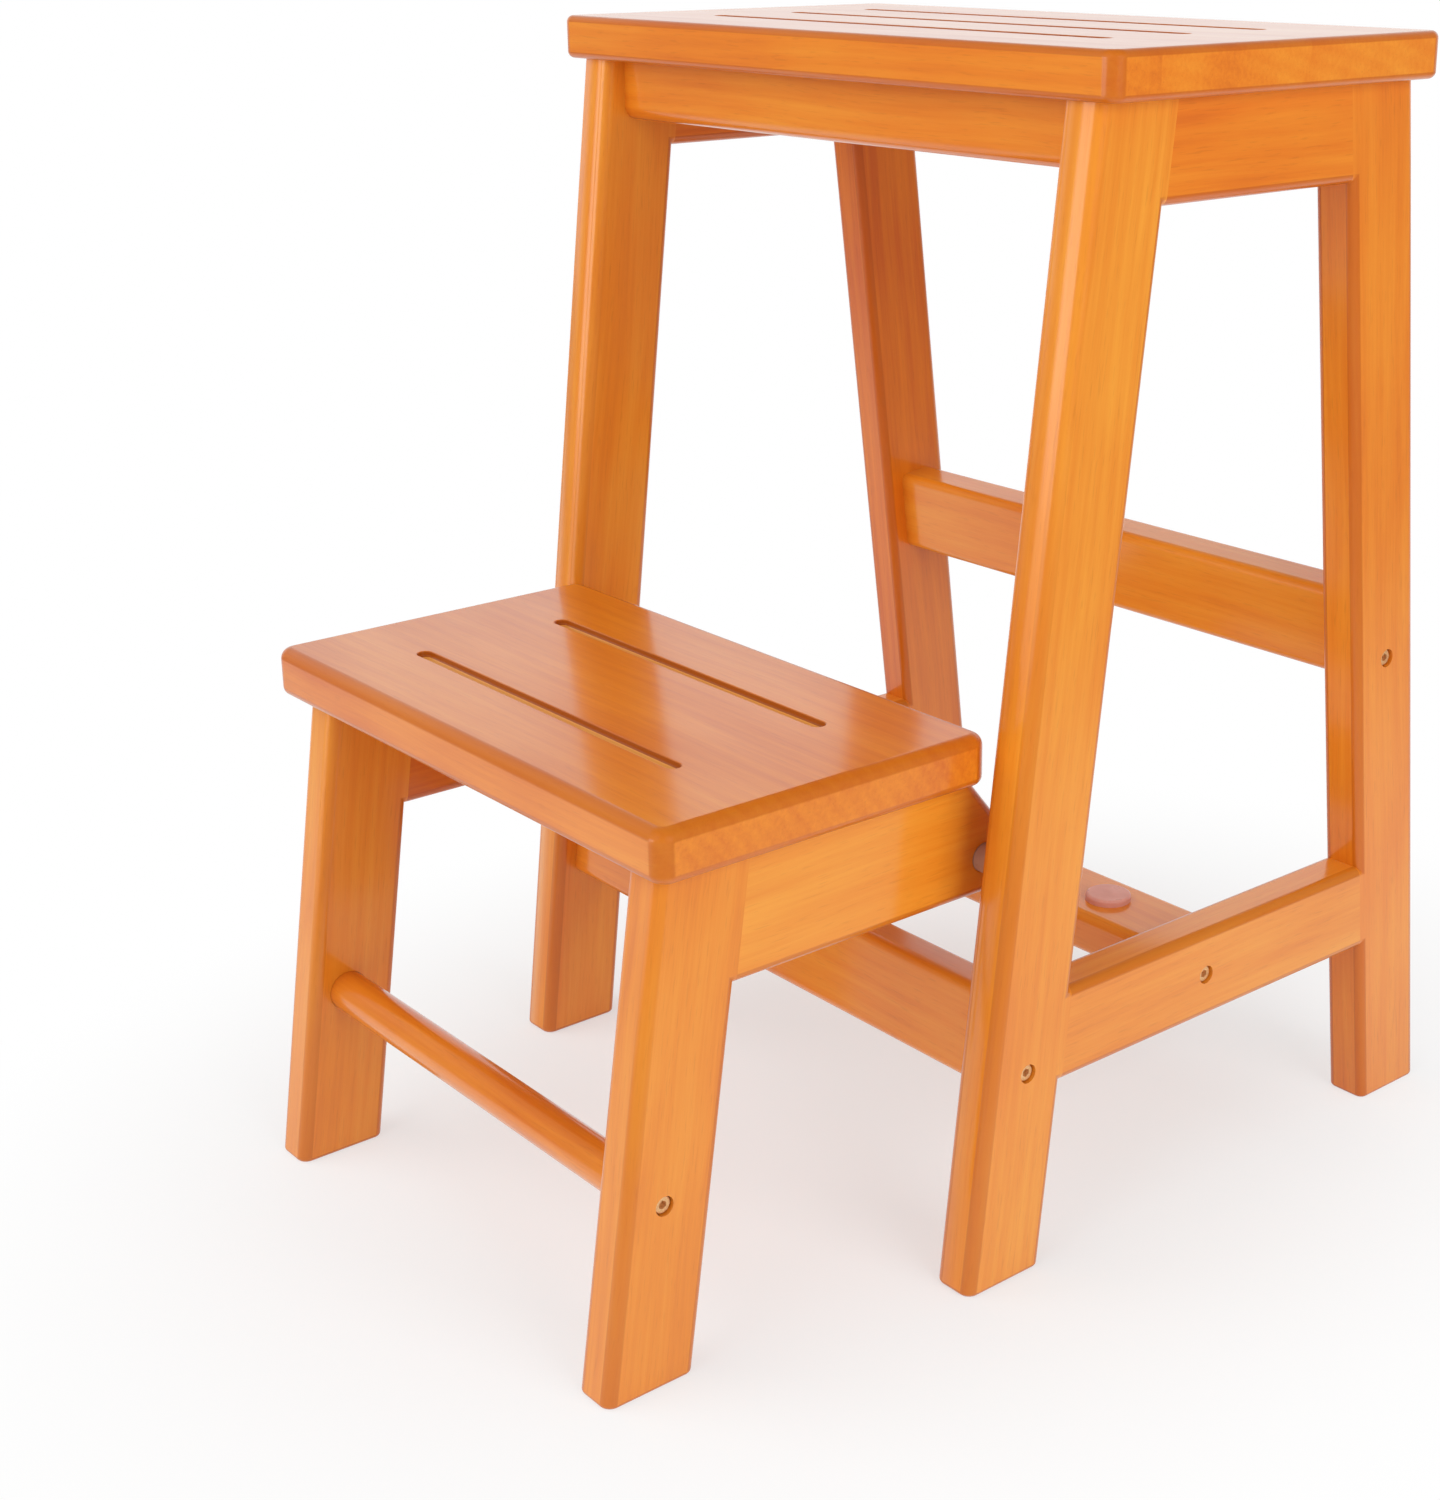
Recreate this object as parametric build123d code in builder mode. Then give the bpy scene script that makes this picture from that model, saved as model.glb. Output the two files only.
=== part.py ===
"""Folding step stool in stained wood: a seat frame with a hinged lower step that flips back inside it.

X runs across the stool, Y from front to back and Z up, in millimetres.  The origin lies on the floor under
the middle of the part's box, with the lower step unfolded in front of the frame.
"""

import os
from math import acos, atan, atan2, cos, degrees, hypot, sin

from build123d import *

os.makedirs("parts", exist_ok=True)

# Seat
seat_height = 480.0
seat_thickness = 18.5
seat_side_overhang = 9.5
seat_end_overhang = 4.0
seat_corner_radius = 6.5
seat_edge_radius = 3.0
seat_groove_length = 240.0
seat_groove_spacing = 44.0

# Seat frame
frame_width = 321.0
foot_spread = 291.0
top_spread = 180.0
leg_width = 40.0
leg_thickness = 20.0
top_rail_height = 39.0
side_rail_height = 40.0
side_rail_centre = 100.5
cross_rail_height = 40.0
cross_rail_thickness = 20.0
rear_rail_centre = 227.0
apron_height = 26.0
apron_thickness = 20.0
apron_edge_radius = 6.0
rest_board_depth = 40.0
rest_board_thickness = 19.0

# Rubber bumpers under the folded tread
bumper_diameter = 20.0
bumper_height = 3.0
bumper_edge_radius = 1.2
bumper_spacing = 188.0
bumper_stem_diameter = 6.0
bumper_stem_length = 8.0

# Lower step
tread_height = 228.0
tread_thickness = 21.0
tread_depth = 155.5
tread_side_gap = 1.8
tread_side_overhang = 11.7
tread_nose = 8.2
tread_corner_radius = 7.0
tread_edge_radius = 5.0
tread_groove_length = 182.0
tread_groove_spacing = 69.0
step_leg_splay = 31.3
step_leg_width = 40.0
step_leg_thickness = 20.0
bar_diameter = 17.5
bar_height = 76.3
bar_setback = 17.5
bar_socket_depth = 6.0

# Step pivot
lobe_radius = 16.0
lobe_inset = 0.5
tread_setback = 9.0
bolt_diameter = 8.0
bolt_head_diameter = 16.0
bolt_head_height = 5.0
bolt_head_round = 1.2
bolt_socket_size = 5.0
bolt_socket_depth = 3.0
bush_diameter = 12.0
spacer_diameter = 12.0
insert_diameter = 12.0
insert_end_wall = 5.0

# Edges, grooves and feet
edge_radius = 4.0
front_edge_radius = 5.0
foot_radius = 2.0
groove_width = 6.5
groove_depth = 2.5
groove_rim_radius = 0.6

# Screws and dowels
screw_diameter = 5.0
screw_head_diameter = 7.2
screw_head_height = 3.6
screw_head_recess = 1.4
screw_head_gap = 0.4
screw_socket_size = 4.0
screw_socket_depth = 2.4
screw_tip_length = 5.0
frame_screw_length = 50.0
seat_screw_length = 30.0
seat_screw_spacing = 200.0
seat_screw_recess = 4.0
step_screw_length = 40.0
dowel_diameter = 8.0
dowel_length = 32.0
dowel_chamfer = 1.0
dowel_leg_depth = 12.0
dowel_tread_depth = 12.0
tread_dowel_shares = (0.4, 0.7)
arm_dowel_shares = (0.3, 0.75)

# Clearances
side_play = 0.3
stow_gap = 0.3
running_fit = 0.05
fixed_fit = 0.1
hole_end_gap = 0.5

# Heights and places that follow from the sizes above
underside = seat_height - seat_thickness
outer_face = frame_width / 2
inner_face = outer_face - leg_thickness
seat_width = frame_width + 2 * seat_side_overhang
seat_depth = top_spread + 2 * seat_end_overhang
leg_slope = (foot_spread - top_spread) / 2 / underside
leg_tilt = atan(leg_slope)
leg_level_width = leg_width / cos(leg_tilt)

tread_underside = tread_height - tread_thickness
tread_width = 2 * (inner_face - tread_side_gap)
step_outer_face = tread_width / 2 - tread_side_overhang
step_inner_face = step_outer_face - step_leg_thickness
step_slope = step_leg_splay / tread_underside
step_tilt = atan(step_slope)
step_leg_level_width = step_leg_width / cos(step_tilt)

# The pivot lies midway between the tread's top as used and as folded down on the bumpers
rest_board_top = side_rail_centre + rest_board_thickness / 2
pivot_height = (tread_height + rest_board_top + bumper_height + stow_gap) / 2
arm_underside = pivot_height - lobe_radius

# Front to back places, first from the middle of the seat frame and then from the part's own middle
pivot_reach = foot_spread / 2 - leg_slope * pivot_height - lobe_radius - lobe_inset
step_foot_reach = pivot_reach + tread_setback + tread_depth - tread_nose + step_leg_splay
frame_y = (step_foot_reach - foot_spread / 2) / 2
pivot_y = frame_y - pivot_reach
tread_rear = pivot_y - tread_setback
tread_middle = tread_rear - tread_depth / 2
step_foot_front = frame_y - step_foot_reach


def leg_front(height):
    """Front edge of the front legs at a height."""
    return frame_y - foot_spread / 2 + leg_slope * height


def leg_middle(height):
    """Middle line of the front legs at a height."""
    return leg_front(height) + leg_level_width / 2


def leg_rear(height):
    """Rear edge of the front legs at a height."""
    return leg_front(height) + leg_level_width


def mirrored(y):
    """The place at the back of the seat frame that answers to one at its front."""
    return 2 * frame_y - y


def step_leg_front(height):
    """Front edge of the step legs at a height."""
    return step_foot_front + step_slope * height


def step_leg_middle(height):
    """Middle line of the step legs at a height."""
    return step_leg_front(height) + step_leg_level_width / 2


def step_leg_rear(height):
    """Rear edge of the step legs at a height."""
    return step_leg_front(height) + step_leg_level_width


def save(builder, name):
    """Label one finished piece and write it."""
    builder.part.label = name
    export_step(builder.part, f"parts/{name}.step")


def save_pair(right_builder, name):
    """Write a right-hand piece and its left-hand mirror image."""
    save(right_builder, f"{name}_right")
    with BuildPart() as left_builder:
        mirror(right_builder.part, about=Plane.YZ)
    save(left_builder, f"{name}_left")


def side_edges(builder, top):
    """Edges round the two faces of a side, without those at its feet and under the board on top."""
    edges = builder.edges().filter_by_position(Axis.Z, 0, top, inclusive=(False, False))
    by_face = edges.group_by(Axis.X)
    return by_face[0] + by_face[-1]


def across(x, y, height):
    """Right-hand place whose axis points outwards along X."""
    return Plane(origin=(x, y, height), x_dir=(0, 1, 0), z_dir=(1, 0, 0))


def along(x, y, height):
    """Place whose axis points backwards along Y."""
    return Plane(origin=(x, y, height), x_dir=(1, 0, 0), z_dir=(0, 1, 0))


def upright(x, y, height):
    """Place whose axis points up."""
    return Plane(origin=(x, y, height))


def both_sides(places):
    """Right-hand places with their mirror images on the left."""
    pairs = []
    for place in places:
        flipped = Vector(-place.z_dir.X, place.z_dir.Y, place.z_dir.Z)
        origin = Vector(-place.origin.X, place.origin.Y, place.origin.Z)
        pairs += [place, Plane(origin=origin, z_dir=flipped)]
    return pairs


def drill_dowels(places):
    """Cut the dowel holes that reach into the piece being made."""
    with Locations(*places):
        Cylinder(
            radius=dowel_diameter / 2 + fixed_fit,
            height=dowel_length + 2 * hole_end_gap,
            mode=Mode.SUBTRACT,
        )


def drill_screws(places, length, recess=screw_head_recess):
    """Cut the stepped screw holes that reach into the piece being made."""
    with Locations(*places):
        CounterBoreHole(
            radius=screw_diameter / 2 + fixed_fit,
            counter_bore_radius=screw_head_diameter / 2 + screw_head_gap,
            counter_bore_depth=recess + screw_head_height,
            depth=recess + length + hole_end_gap,
        )


def cut_grooves(length, spots, top):
    """Cut long round-ended grooves into a board's upper face and soften their edges."""
    builder = BuildPart._get_context()
    with BuildSketch(Plane.XY.offset(top), mode=Mode.PRIVATE) as slots:
        with Locations(*[(0, spot) for spot in spots]):
            SlotOverall(length, groove_width)
    extrude(slots.sketch, amount=-groove_depth, mode=Mode.SUBTRACT)
    floor = top - groove_depth
    floors = builder.faces().filter_by(Plane.XY).filter_by_position(Axis.Z, floor, floor)
    fillet(floors.edges(), radius=groove_depth - 2 * groove_rim_radius)
    upper = builder.faces().sort_by(Axis.Z)[-1]
    fillet([edge for wire in upper.inner_wires() for edge in wire.edges()], radius=groove_rim_radius)


# Places of the screws and dowels on the right-hand side
screw_drop = cross_rail_height / 4
rest_offset = rest_board_depth / 4
front_screw_height = side_rail_centre - screw_drop
front_dowel_height = side_rail_centre + screw_drop
rear_screw_height = rear_rail_centre - screw_drop
rear_dowel_height = rear_rail_centre + screw_drop
frame_screw_places = [
    across(outer_face, leg_middle(front_screw_height), front_screw_height),
    across(outer_face, mirrored(leg_middle(rear_screw_height)), rear_screw_height),
    across(outer_face, frame_y - rest_offset, side_rail_centre),
]

# Dowels of the cross rails, aprons and rest board run across, shorter end outwards
cross_dowel_x = inner_face + dowel_leg_depth - dowel_length / 2
apron_centre = underside - apron_height / 2
cross_dowel_places = [
    across(cross_dowel_x, leg_middle(front_dowel_height), front_dowel_height),
    across(cross_dowel_x, mirrored(leg_middle(rear_dowel_height)), rear_dowel_height),
    across(cross_dowel_x, leg_middle(apron_centre), apron_centre),
    across(cross_dowel_x, mirrored(leg_middle(apron_centre)), apron_centre),
    across(cross_dowel_x, frame_y + rest_offset, side_rail_centre),
]

# Screws of the seat go up through the aprons
apron_y = [leg_middle(apron_centre), mirrored(leg_middle(apron_centre))]
seat_screw_places = []
for y in apron_y:
    for x in (-seat_screw_spacing / 2, seat_screw_spacing / 2):
        seat_screw_places.append(Plane(origin=(x, y, underside - apron_height), z_dir=(0, 0, -1)))

# Dowels of the side rails run front to back, two at each end of a rail
side_middle = inner_face + leg_thickness / 2
side_dowel_heights = [
    side_rail_centre - side_rail_height / 4,
    side_rail_centre + side_rail_height / 4,
    underside - top_rail_height / 4,
    underside - top_rail_height * 3 / 4,
]
side_dowel_places = []
for dowel_height in side_dowel_heights:
    dowel_y = leg_rear(dowel_height) - dowel_leg_depth + dowel_length / 2
    side_dowel_places.append(along(side_middle, dowel_y, dowel_height))
    side_dowel_places.append(along(side_middle, mirrored(dowel_y), dowel_height))
frame_dowel_places = cross_dowel_places + side_dowel_places

# Dowels of the lower step: arms into legs, and tread onto arms and legs
step_middle = step_inner_face + step_leg_thickness / 2
arm_height = tread_underside - arm_underside
arm_start = step_leg_rear(tread_underside)
arm_length = tread_rear - arm_start
tread_dowel_height = tread_underside + dowel_tread_depth - dowel_length / 2
step_dowel_places = [
    upright(step_middle, step_leg_middle(tread_underside), tread_dowel_height),
]
for share in tread_dowel_shares:
    step_dowel_places.append(upright(step_middle, arm_start + arm_length * share, tread_dowel_height))
for share in arm_dowel_shares:
    dowel_height = arm_underside + arm_height * share
    dowel_y = step_leg_rear(dowel_height) - dowel_leg_depth + dowel_length / 2
    step_dowel_places.append(along(step_middle, dowel_y, dowel_height))

bar_y = step_leg_front(bar_height) + bar_setback
step_screw_places = [across(step_outer_face, bar_y, bar_height)]

# Seat board
with BuildPart() as seat_board:
    with BuildSketch(Plane.XY.offset(underside)):
        with Locations((0, frame_y)):
            RectangleRounded(seat_width, seat_depth, seat_corner_radius)
    extrude(amount=seat_thickness)
    fillet(seat_board.edges().group_by(Axis.Z)[-1], radius=seat_edge_radius)
    fillet(seat_board.edges().group_by(Axis.Z)[0], radius=seat_edge_radius)
    groove_spots = [frame_y - seat_groove_spacing, frame_y, frame_y + seat_groove_spacing]
    cut_grooves(seat_groove_length, groove_spots, seat_height)
    drill_screws(seat_screw_places, seat_screw_length, seat_screw_recess)
save(seat_board, "seat_board")

# One side of the seat frame, rounded as a whole and then parted along its seams
front_leg_outline = [
    (leg_front(0), 0),
    (leg_rear(0), 0),
    (leg_rear(underside), underside),
    (leg_front(underside), underside),
]
side_rail_low = side_rail_centre - side_rail_height / 2
side_rail_high = side_rail_centre + side_rail_height / 2
top_rail_low = underside - top_rail_height
with BuildPart() as frame_side:
    with BuildSketch(Plane.YZ.offset(inner_face)):
        Polygon(*front_leg_outline)
        Polygon(*[(mirrored(y), height) for y, height in front_leg_outline])
        for low, high in ((side_rail_low, side_rail_high), (top_rail_low, underside)):
            Polygon(
                (leg_middle(low), low),
                (mirrored(leg_middle(low)), low),
                (mirrored(leg_middle(high)), high),
                (leg_middle(high), high),
            )
    extrude(amount=leg_thickness)
    by_depth = side_edges(frame_side, underside).group_by(Axis.Y)
    fillet(by_depth[0] + by_depth[-1], radius=front_edge_radius)
    inner_edges = []
    for edge in side_edges(frame_side, underside):
        middle = leg_middle(edge.center().Z)
        if middle < edge.center().Y < mirrored(middle):
            inner_edges.append(edge)
    fillet(inner_edges, radius=edge_radius)

seam_normal = Vector(0, cos(leg_tilt), -sin(leg_tilt))
rear_seam_normal = Vector(0, -cos(leg_tilt), -sin(leg_tilt))
front_seam = Plane(origin=(0, leg_rear(0), 0), x_dir=(1, 0, 0), z_dir=seam_normal)
rear_seam = Plane(origin=(0, mirrored(leg_rear(0)), 0), x_dir=(1, 0, 0), z_dir=rear_seam_normal)
rail_parting = Plane.XY.offset((side_rail_high + top_rail_low) / 2)

# Front and rear legs
insert_length = leg_thickness - insert_end_wall
with BuildPart() as front_leg:
    add(frame_side.part)
    split(bisect_by=front_seam, keep=Keep.BOTTOM)
    fillet(front_leg.edges().group_by(Axis.Z)[0], radius=foot_radius)
    drill_dowels(frame_dowel_places)
    drill_screws(frame_screw_places, frame_screw_length)
    with Locations(across(inner_face + insert_length / 2, pivot_y, pivot_height)):
        Cylinder(radius=insert_diameter / 2 + fixed_fit, height=insert_length, mode=Mode.SUBTRACT)
save_pair(front_leg, "front_leg")

with BuildPart() as rear_leg:
    add(frame_side.part)
    split(bisect_by=rear_seam, keep=Keep.BOTTOM)
    fillet(rear_leg.edges().group_by(Axis.Z)[0], radius=foot_radius)
    drill_dowels(frame_dowel_places)
    drill_screws(frame_screw_places, frame_screw_length)
save_pair(rear_leg, "rear_leg")

# Side rails
with BuildPart() as top_rail:
    add(frame_side.part)
    split(bisect_by=front_seam, keep=Keep.TOP)
    split(bisect_by=rear_seam, keep=Keep.TOP)
    split(bisect_by=rail_parting, keep=Keep.TOP)
    drill_dowels(frame_dowel_places)
save_pair(top_rail, "top_rail")

with BuildPart() as side_rail:
    add(frame_side.part)
    split(bisect_by=front_seam, keep=Keep.TOP)
    split(bisect_by=rear_seam, keep=Keep.TOP)
    split(bisect_by=rail_parting, keep=Keep.BOTTOM)
    drill_dowels(frame_dowel_places)
    drill_screws(frame_screw_places, frame_screw_length)
save_pair(side_rail, "side_rail")

# Cross rails, tilted with the legs
front_rail_axis = Plane(
    origin=(-inner_face, leg_middle(side_rail_centre), side_rail_centre),
    x_dir=seam_normal,
    z_dir=(1, 0, 0),
)
rear_rail_axis = Plane(
    origin=(-inner_face, mirrored(leg_middle(rear_rail_centre)), rear_rail_centre),
    x_dir=-rear_seam_normal,
    z_dir=(1, 0, 0),
)
for name, rail_axis in (("front_cross_rail", front_rail_axis), ("rear_cross_rail", rear_rail_axis)):
    with BuildPart() as cross_rail:
        with BuildSketch(rail_axis):
            RectangleRounded(cross_rail_thickness, cross_rail_height, edge_radius)
        extrude(amount=2 * inner_face)
        drill_dowels(both_sides(cross_dowel_places))
        drill_screws(both_sides(frame_screw_places), frame_screw_length)
    save(cross_rail, name)

# Aprons under the seat's front and rear edges
for name, y in zip(("front_apron", "rear_apron"), apron_y):
    with BuildPart() as apron:
        with BuildSketch(Plane.YZ.offset(-inner_face)) as apron_section:
            with Locations((y, apron_centre)):
                Rectangle(apron_thickness, apron_height)
            fillet(apron_section.vertices().group_by(Axis.Y)[0], radius=apron_edge_radius)
        extrude(amount=2 * inner_face)
        drill_dowels(both_sides(cross_dowel_places))
        drill_screws(seat_screw_places, seat_screw_length, seat_screw_recess)
    save(apron, name)

# Rest board and its bumpers
bumper_places = [
    upright(-bumper_spacing / 2, frame_y, rest_board_top),
    upright(bumper_spacing / 2, frame_y, rest_board_top),
]
with BuildPart() as rest_board:
    with BuildSketch(Plane.YZ.offset(-inner_face)):
        with Locations((frame_y, side_rail_centre)):
            RectangleRounded(rest_board_depth, rest_board_thickness, edge_radius)
    extrude(amount=2 * inner_face)
    drill_dowels(both_sides(cross_dowel_places))
    drill_screws(both_sides(frame_screw_places), frame_screw_length)
    with Locations(*bumper_places):
        Hole(radius=bumper_stem_diameter / 2 + fixed_fit, depth=bumper_stem_length + hole_end_gap)
save(rest_board, "rest_board")

with BuildPart() as bumper_blank:
    with BuildSketch(Plane.XY):
        Circle(bumper_diameter / 2)
    extrude(amount=bumper_height)
    fillet(bumper_blank.edges().group_by(Axis.Z)[-1], radius=bumper_edge_radius)
    with BuildSketch(Plane.XY):
        Circle(bumper_stem_diameter / 2)
    extrude(amount=-bumper_stem_length)

with BuildPart() as rest_bumpers:
    with Locations(*bumper_places):
        add(bumper_blank.part)
save(rest_bumpers, "rest_bumpers")


def socket_screw(length, recess):
    """Socket-head wood screw whose head lies below the place it is driven from, pointing down."""
    with BuildPart() as screw:
        with BuildSketch(Plane.XZ):
            with BuildLine():
                Polyline(
                    (0, -recess),
                    (screw_head_diameter / 2, -recess),
                    (screw_head_diameter / 2, -recess - screw_head_height),
                    (screw_diameter / 2, -recess - screw_head_height),
                    (screw_diameter / 2, -recess - length + screw_tip_length),
                    (0, -recess - length),
                    close=True,
                )
            make_face()
        revolve(axis=Axis.Z)
        with BuildSketch(Plane.XY.offset(-recess)):
            RegularPolygon(radius=screw_socket_size / 2, side_count=6, major_radius=False)
        extrude(amount=-screw_socket_depth, mode=Mode.SUBTRACT)
    return screw.part


# Screws of the seat frame, the seat and the step's bar
with BuildPart() as frame_screws:
    with Locations(*both_sides(frame_screw_places)):
        add(socket_screw(frame_screw_length, screw_head_recess))
save(frame_screws, "frame_screws")

with BuildPart() as seat_screws:
    with Locations(*seat_screw_places):
        add(socket_screw(seat_screw_length, seat_screw_recess))
save(seat_screws, "seat_screws")

with BuildPart() as step_screws:
    with Locations(*both_sides(step_screw_places)):
        add(socket_screw(step_screw_length, screw_head_recess))
save(step_screws, "step_screws")

# Dowels of the two bodies
with BuildPart() as dowel_blank:
    Cylinder(radius=dowel_diameter / 2, height=dowel_length)
    chamfer(dowel_blank.edges().filter_by(GeomType.CIRCLE), length=dowel_chamfer)

with BuildPart() as frame_dowels:
    with Locations(*both_sides(frame_dowel_places)):
        add(dowel_blank.part)
save(frame_dowels, "frame_dowels")

with BuildPart() as step_dowels:
    with Locations(*both_sides(step_dowel_places)):
        add(dowel_blank.part)
save(step_dowels, "step_dowels")

# Tread
with BuildPart() as step_tread:
    with BuildSketch(Plane.XY.offset(tread_underside)):
        with Locations((0, tread_middle)):
            RectangleRounded(tread_width, tread_depth, tread_corner_radius)
    extrude(amount=tread_thickness)
    fillet(step_tread.edges().group_by(Axis.Z)[-1], radius=tread_edge_radius)
    fillet(step_tread.edges().group_by(Axis.Z)[0], radius=edge_radius)
    groove_spots = [tread_middle - tread_groove_spacing / 2, tread_middle + tread_groove_spacing / 2]
    cut_grooves(tread_groove_length, groove_spots, tread_height)
    drill_dowels(both_sides(step_dowel_places))
save(step_tread, "step_tread")

# One side of the lower step, rounded as a whole: the leg and the arm with its lobe round the pivot
corner_distance = hypot(tread_rear - pivot_y, tread_underside - pivot_height)
corner_angle = atan2(tread_underside - pivot_height, tread_rear - pivot_y)
tangent_angle = corner_angle - acos(lobe_radius / corner_distance)
arm_root = step_leg_middle(tread_underside)
with BuildPart() as step_side:
    with BuildSketch(Plane.YZ.offset(step_inner_face)):
        Polygon(
            (step_leg_front(0), 0),
            (step_leg_rear(0), 0),
            (step_leg_rear(tread_underside), tread_underside),
            (step_leg_front(tread_underside), tread_underside),
        )
        with BuildLine():
            Line((arm_root, arm_underside), (pivot_y, arm_underside))
            lobe = CenterArc((pivot_y, pivot_height), lobe_radius, -90, 90 + degrees(tangent_angle))
            Polyline(
                lobe @ 1,
                (tread_rear, tread_underside),
                (arm_root, tread_underside),
                (arm_root, arm_underside),
            )
        make_face()
    extrude(amount=step_leg_thickness)
    fillet(side_edges(step_side, tread_underside).group_by(Axis.Y)[0], radius=front_edge_radius)
    rear_edges = []
    for edge in side_edges(step_side, tread_underside):
        if edge.center().Y > step_leg_middle(edge.center().Z):
            rear_edges.append(edge)
    fillet(rear_edges, radius=edge_radius)

step_seam = Plane(
    origin=(0, step_leg_rear(0), 0),
    x_dir=(1, 0, 0),
    z_dir=(0, cos(step_tilt), -sin(step_tilt)),
)
with BuildPart() as step_leg:
    add(step_side.part)
    split(bisect_by=step_seam, keep=Keep.BOTTOM)
    fillet(step_leg.edges().group_by(Axis.Z)[0], radius=foot_radius)
    drill_dowels(step_dowel_places)
    drill_screws(step_screw_places, step_screw_length)
    with Locations(across(step_inner_face + bar_socket_depth / 2, bar_y, bar_height)):
        Cylinder(radius=bar_diameter / 2 + fixed_fit, height=bar_socket_depth, mode=Mode.SUBTRACT)
save_pair(step_leg, "step_leg")

with BuildPart() as step_arm:
    add(step_side.part)
    split(bisect_by=step_seam, keep=Keep.TOP)
    drill_dowels(step_dowel_places)
    with Locations(across(step_outer_face, pivot_y, pivot_height)):
        Hole(radius=bush_diameter / 2 + fixed_fit)
save_pair(step_arm, "step_arm")

# Round bar between the step legs
with BuildPart() as step_bar:
    with Locations(across(0, bar_y, bar_height)):
        Cylinder(radius=bar_diameter / 2, height=2 * (step_inner_face + bar_socket_depth - fixed_fit))
    drill_screws(both_sides(step_screw_places), step_screw_length)
save(step_bar, "step_bar")

# Pivot hardware, from the arm's inner face outwards: bolt, bush in the arm, spacer, insert in the front leg
bolt_start = step_inner_face - side_play
bolt_length = inner_face + insert_length - fixed_fit - bolt_start
with BuildPart() as bolt_blank:
    with BuildSketch(Plane.XY):
        Circle(bolt_head_diameter / 2)
    extrude(amount=-bolt_head_height)
    fillet(bolt_blank.edges().group_by(Axis.Z)[0], radius=bolt_head_round)
    with BuildSketch(Plane.XY.offset(-bolt_head_height)):
        RegularPolygon(radius=bolt_socket_size / 2, side_count=6, major_radius=False)
    extrude(amount=bolt_socket_depth, mode=Mode.SUBTRACT)
    with BuildSketch(Plane.XY):
        Circle(bolt_diameter / 2)
    extrude(amount=bolt_length)

with BuildPart() as pivot_bolts:
    with Locations(*both_sides([across(bolt_start, pivot_y, pivot_height)])):
        add(bolt_blank.part)
save(pivot_bolts, "pivot_bolts")


def sleeves(start, length, diameter, bore_gap):
    """Right and left sleeve round the pivot bolts, from a face outwards."""
    with BuildPart() as pair:
        for place in both_sides([across(start, pivot_y, pivot_height)]):
            with BuildSketch(place):
                Circle(diameter / 2)
                Circle(bolt_diameter / 2 + bore_gap, mode=Mode.SUBTRACT)
            extrude(amount=length)
    return pair


spacer_start = step_outer_face + side_play
save(sleeves(step_inner_face, step_leg_thickness, bush_diameter, running_fit), "pivot_bushes")
save(sleeves(spacer_start, inner_face - spacer_start, spacer_diameter, fixed_fit), "pivot_spacers")
save(sleeves(inner_face, insert_length, insert_diameter, fixed_fit), "pivot_inserts")
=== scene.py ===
"""Looks of the wooden step stool: its boards, screws, bumpers and pivots, on a pale studio floor."""

import math

import bmesh
import bpy
from mathutils import Euler, Matrix, Vector


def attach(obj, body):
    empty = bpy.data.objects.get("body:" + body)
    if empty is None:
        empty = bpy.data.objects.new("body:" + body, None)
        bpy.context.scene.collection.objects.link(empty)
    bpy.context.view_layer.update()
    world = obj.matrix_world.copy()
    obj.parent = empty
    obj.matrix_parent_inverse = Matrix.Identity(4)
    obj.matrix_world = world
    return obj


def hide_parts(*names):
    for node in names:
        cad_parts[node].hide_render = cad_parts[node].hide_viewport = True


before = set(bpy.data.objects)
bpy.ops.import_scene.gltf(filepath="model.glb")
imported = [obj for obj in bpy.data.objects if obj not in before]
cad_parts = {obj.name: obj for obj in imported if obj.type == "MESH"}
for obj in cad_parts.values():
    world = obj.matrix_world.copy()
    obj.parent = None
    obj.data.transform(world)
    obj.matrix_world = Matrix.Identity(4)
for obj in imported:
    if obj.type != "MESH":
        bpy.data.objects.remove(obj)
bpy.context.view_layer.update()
scene = bpy.context.scene

MM = 0.001

# How far the legs lean, in radians: up and back at the front, up and forward at the rear
LEG_LEAN = math.atan(0.12026)
STEP_LEG_LEAN = math.atan(0.15121)

# Turns that lay a board's length on the X axis of its wood pattern
ACROSS = (0.0, 0.0, 0.0)
FRONT_TO_BACK = (0.0, 0.0, -math.pi / 2)
UP_FRONT_LEG = (LEG_LEAN, math.pi / 2, 0.0)
UP_REAR_LEG = (-LEG_LEAN, math.pi / 2, 0.0)
UP_STEP_LEG = (STEP_LEG_LEAN, math.pi / 2, 0.0)

# Directions this close together count as one, and an edge that turns further than this stays hard
SAME_WAY = math.cos(math.radians(1.0))
HARD_EDGE = math.radians(40)

# Corners of a CAD mesh that lie this close together are one corner
ONE_POINT = 0.002 * MM

# Boards with grooves in their tops, how deep these are, and their least distance from the board's edge
GROOVED = ("seat_board", "step_tread")
GROOVE_DEPTH = 2.5 * MM
GROOVE_INSET = 15 * MM

# Legs whose front face is shaded as slightly round, and how far its normals turn at the edges
ROUNDED = ("front_leg_left", "front_leg_right")
ROUNDING = math.radians(14)

# Level directions from the stool to the white wall behind it, and to a low bright card in front of it
BACKDROP = (-0.76, 0.65, 0.0)
CARD = (-0.33, -0.94, 0.0)

# Metres: half the stool's width and depth, and half the floor's
HALF_STOOL = (0.17, 0.22)
HALF_FLOOR = 6.0


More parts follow.
